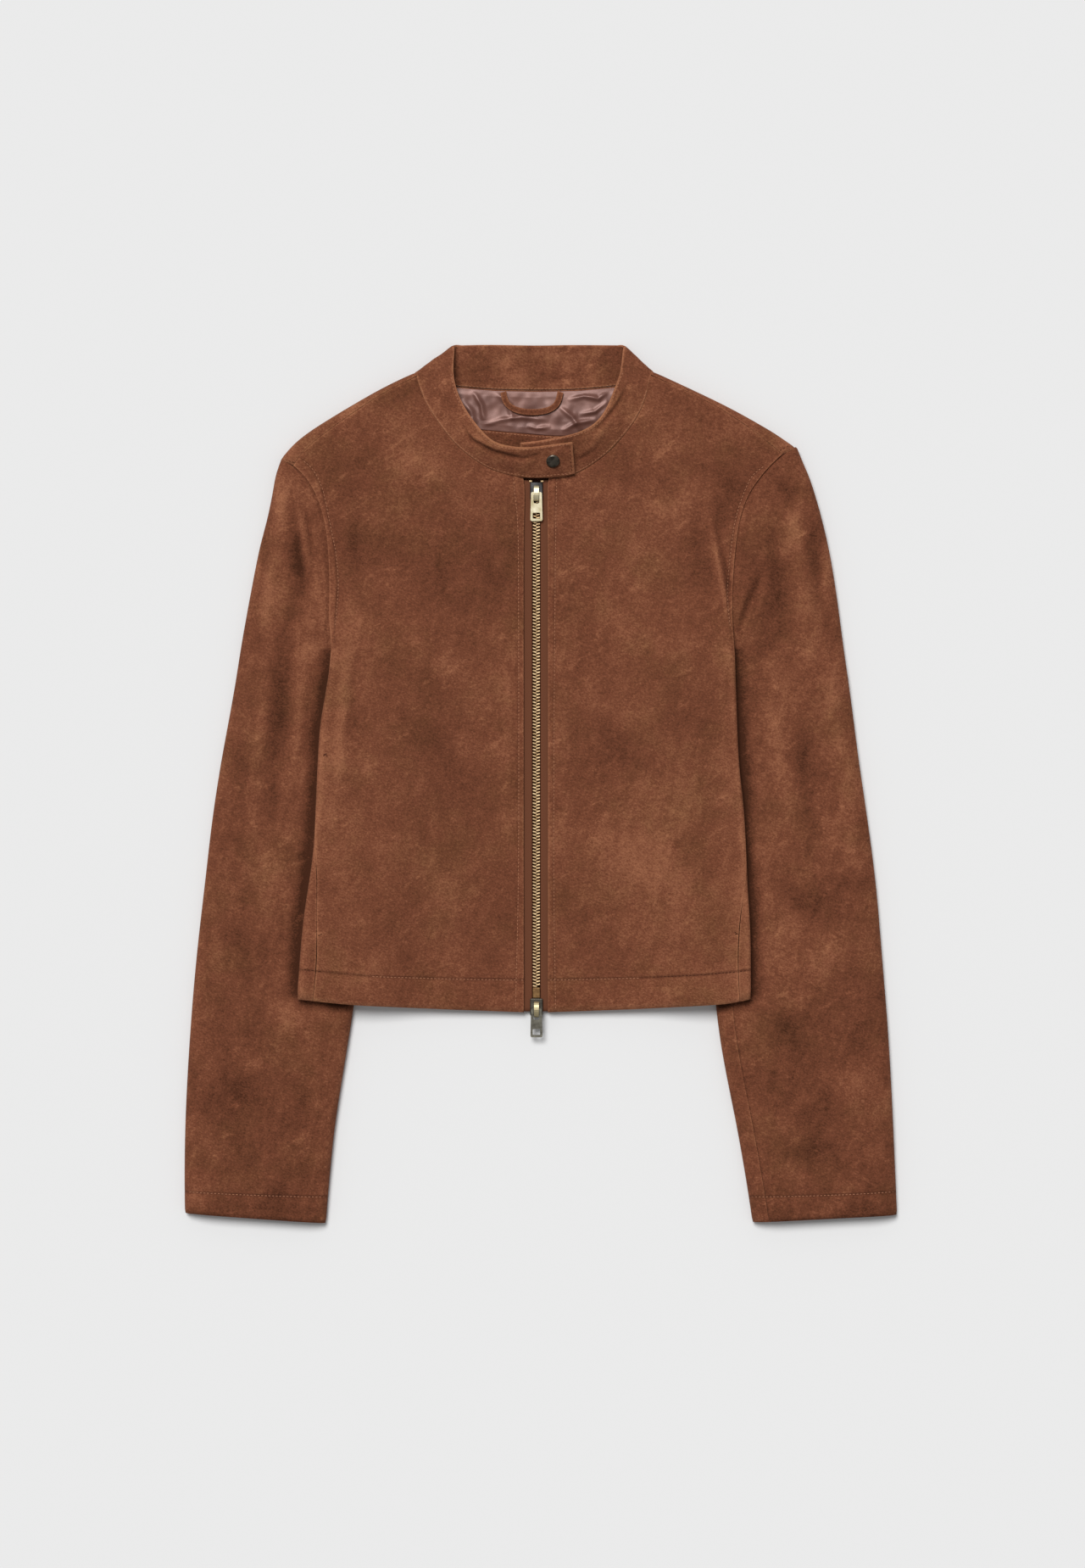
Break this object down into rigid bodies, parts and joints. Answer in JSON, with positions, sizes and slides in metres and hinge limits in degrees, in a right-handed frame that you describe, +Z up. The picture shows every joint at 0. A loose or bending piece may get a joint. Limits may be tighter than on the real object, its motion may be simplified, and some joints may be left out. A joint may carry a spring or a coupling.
{
  "type": "cropped zip jacket",
  "caption": "Cropped brown suede jacket with a two-way front zip, a band collar and a snap tab, laid flat on its back with its sleeves down.",
  "frame": {"origin": "on the surface the jacket lies on, under the middle of its back, at the centre of its outline", "axes": "+X to the right as seen from above, +Y from hem to collar, +Z up from the surface"},
  "size_m": [0.5738, 0.7058, 0.03],
  "materials": {
    "brown_suede": "napped suede, matt",
    "mauve_satin": "satin, soft sheen",
    "brown_zip_tape": "woven tape, matt",
    "zip_brass": "polished, slightly aged",
    "gunmetal": "dark, satin"
  },
  "bodies": {
    "jacket": {"back": "brown_suede", "front_left": "brown_suede", "front_right": "brown_suede", "sleeve_left_upper": "brown_suede", "sleeve_left_under": "brown_suede", "sleeve_right_upper": "brown_suede", "sleeve_right_under": "brown_suede", "collar_outer": "brown_suede", "collar_inner": "brown_suede", "lining_back": "mauve_satin", "facing_back": "brown_suede", "hanger_loop": "brown_suede", "zip_tape_left": "brown_zip_tape", "zip_tape_right": "brown_zip_tape", "zip_chain": "zip_brass", "zip_pin": "zip_brass", "top_stop_left": "zip_brass", "top_stop_right": "zip_brass", "slider_top": "gunmetal", "slider_bottom": "gunmetal", "snap_cap": "gunmetal"},
    "upper_tab": {"pull_top": "zip_brass"},
    "lower_tab": {"pull_bottom": "gunmetal"}
  },
  "joints": [
    {"name": "upper_tab_hinge", "type": "hinge", "parent": "jacket", "child": "upper_tab", "pos_m": [-0.00385, 0.2336, 0.01575], "axis": [-1, 0, 0], "range_deg": [0, 150]},
    {"name": "lower_tab_hinge", "type": "hinge", "parent": "jacket", "child": "lower_tab", "pos_m": [-0.00385, -0.1802, 0.00926], "axis": [-1, 0, 0], "range_deg": [0, 150]}
  ]
}
